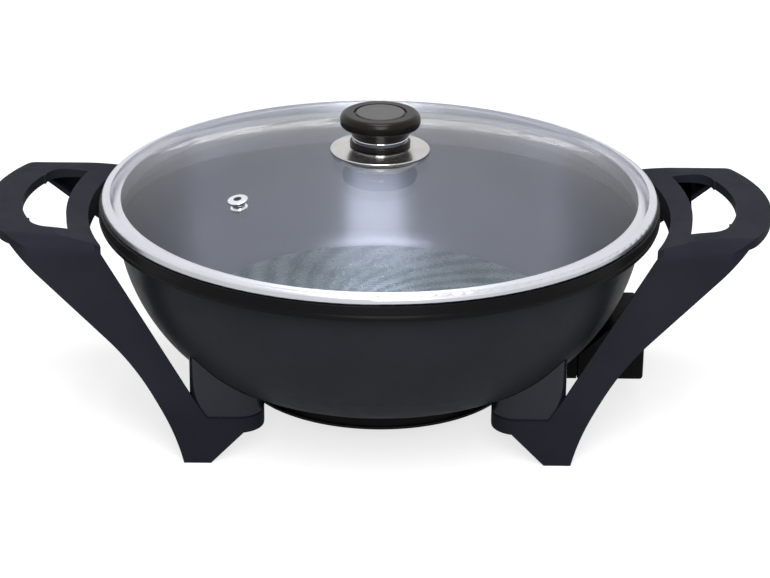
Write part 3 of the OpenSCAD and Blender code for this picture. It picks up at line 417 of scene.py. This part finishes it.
def soften(piece):
    """Rounds a moulding's edges."""
    bevel = piece.modifiers.new("rounded_edges", "BEVEL")
    bevel.limit_method = "ANGLE"
    bevel.angle_limit = EDGE_ANGLE
    bevel.width = EDGE_ROUNDING
    bevel.segments = 3
    bevel.use_clamp_overlap = True
    bevel.miter_outer = "MITER_ARC"
    bevel.harden_normals = True
    weighted = piece.modifiers.new("even_normals", "WEIGHTED_NORMAL")
    weighted.keep_sharp = True


def cooking_floor():
    """Ribbed cooking floor: fine rings crossed by curved ribs, spun from its section."""
    shape = bmesh.new()
    section = []
    for i in range(FLOOR_RINGS + 1):
        r = FLOOR_EDGE * (HUB + (1 - HUB) * i / FLOOR_RINGS)
        out = max(0, r - FLOOR_FLAT)
        z = FLOOR_Z + FLOOR_FILLET - math.sqrt(FLOOR_FILLET ** 2 - out ** 2)
        section.append(shape.verts.new((r, 0, z)))
    edges = [shape.edges.new(pair) for pair in zip(section, section[1:])]
    bmesh.ops.spin(shape, geom=section + edges, cent=(0, 0, 0), axis=(0, 0, 1),
                   angle=2 * math.pi, steps=FLOOR_SPOKES, use_merge=True)
    bmesh.ops.holes_fill(shape, edges=shape.edges)
    for vert in shape.verts:
        r = math.hypot(vert.co.x, vert.co.y)
        turn = math.atan2(vert.co.y, vert.co.x)
        share = r / FLOOR_EDGE
        rings = 0.5 - 0.5 * math.cos(2 * math.pi * r / RING_PITCH)
        wave = 0.5 + 0.5 * math.cos(RIBS * (turn + RIB_SWEEP * math.log(share + RIB_START)))
        rib_fade = (min(1, max(0, (share - RIB_FADE_FROM) / RIB_FADE_IN))
                    * min(1, max(0, (1 - share) / RIB_FADE_OUT)))
        ring_fade = min(1, max(0, (1 - share) / RING_FADE_OUT))
        vert.co.z += ring_fade * RING_DEPTH * rings + rib_fade * RIB_HEIGHT * wave ** RIB_SHARPNESS
    bmesh.ops.recalc_face_normals(shape, faces=shape.faces)
    for face in shape.faces:
        face.smooth = True
        if face.normal.z < 0:
            face.normal_flip()
    return new_piece("cooking_floor", shape, "wok", cooking_floor_coating())


cooking_floor()
for side in ("left", "right"):
    node = side + "_handle_stand"
    moulding = new_piece(side + "_handle", merged_copy(node), "wok",
                         handle_plastic, node)
    soften(moulding)


# ---------------------------------------------------------------------------
# Table top, light and camera

def white_backdrop():
    """White table top that keeps the object's shadow."""
    shape = bmesh.new()
    bmesh.ops.create_grid(shape, x_segments=1, y_segments=1, size=TABLE_HALF)
    mesh = bpy.data.meshes.new("table_top")
    shape.to_mesh(mesh)
    shape.free()
    table = bpy.data.objects.new("table_top", mesh)
    scene.collection.objects.link(table)
    f = Finish("white_table", specular=0.0)
    f.set(Base_Color=f.blend(f.spread(f.noise(2), 0, 1), (0.46, 0.46, 0.46), (0.47, 0.47, 0.47)),
          Roughness=1.0)
    glow = f.add("ShaderNodeEmission")
    path = f.add("ShaderNodeLightPath")
    seen = f.calc("ADD", f.calc("MULTIPLY", path.outputs["Is Camera Ray"],
                                TABLE_GLOW_CAMERA),
                  f.calc("MAXIMUM", path.outputs["Is Glossy Ray"],
                         path.outputs["Is Transmission Ray"]))
    f.put(glow, "Strength", f.calc("MULTIPLY", seen, TABLE_GLOW))
    both = f.add("ShaderNodeAddShader")
    f.put(both, 0, f.shader.outputs[0])
    f.put(both, 1, glow.outputs[0])
    f.put(f.output, "Surface", both.outputs[0])
    paint(table, f.material)


def studio_world():
    """White all round, brighter to the eye and in mirrors than as light."""
    world = bpy.data.worlds.new("studio")
    scene.world = world
    world.use_nodes = True
    tree = world.node_tree
    back = tree.nodes["Background"]
    back.inputs["Color"].default_value = (1, 1, 1, 1)
    path = tree.nodes.new("ShaderNodeLightPath")
    seen = tree.nodes.new("ShaderNodeMath")
    seen.operation = "ADD"
    seen.use_clamp = True
    both = tree.nodes.new("ShaderNodeMath")
    both.operation = "MAXIMUM"
    tree.links.new(path.outputs["Is Glossy Ray"], both.inputs[0])
    tree.links.new(path.outputs["Is Transmission Ray"], both.inputs[1])
    tree.links.new(path.outputs["Is Camera Ray"], seen.inputs[0])
    tree.links.new(both.outputs[0], seen.inputs[1])
    level = tree.nodes.new("ShaderNodeMapRange")
    level.inputs["To Min"].default_value = SKY_LIGHT
    level.inputs["To Max"].default_value = SKY_SEEN
    tree.links.new(seen.outputs[0], level.inputs["Value"])
    tree.links.new(level.outputs["Result"], back.inputs["Strength"])


def softbox(name, place, target, width, height, power):
    """Area light at place that faces target."""
    lamp = bpy.data.lights.new(name, "AREA")
    lamp.shape = "RECTANGLE"
    lamp.size, lamp.size_y = width, height
    lamp.energy = power
    box = bpy.data.objects.new(name, lamp)
    scene.collection.objects.link(box)
    box.location = place
    box.rotation_euler = (Vector(target) - Vector(place)).to_track_quat("-Z", "Y").to_euler()


def photo_camera():
    """Camera of the photograph."""
    data = bpy.data.cameras.new("camera")
    data.sensor_width = SENSOR_WIDTH
    data.lens = SENSOR_WIDTH * FOCAL_PIXELS / PHOTO_WIDTH
    data.clip_start, data.clip_end = 0.05, 50
    camera = bpy.data.objects.new("camera", data)
    scene.collection.objects.link(camera)
    pitch, yaw, roll = (math.radians(a) for a in CAMERA_TILT)
    ahead = Vector((math.sin(yaw) * math.cos(pitch), math.cos(yaw) * math.cos(pitch),
                    -math.sin(pitch)))
    right = Vector((math.cos(yaw), -math.sin(yaw), 0))
    up = right.cross(ahead)
    right, up = (right * math.cos(roll) + up * math.sin(roll),
                 up * math.cos(roll) - right * math.sin(roll))
    turn = Matrix((right, up, -ahead)).transposed().to_4x4()
    camera.matrix_world = Matrix.Translation(CAMERA_PLACE) @ turn
    scene.camera = camera


white_backdrop()
studio_world()
softbox("overhead", (0, 0.1, 1.5), (0, 0, 0.1), 0.5, 0.7, 8)
softbox("front_strip", (0.04, -1.05, 1.02), (0, 0, 0.1), 0.6, 1.1, 17)
photo_camera()
scene.view_settings.view_transform = "Standard"
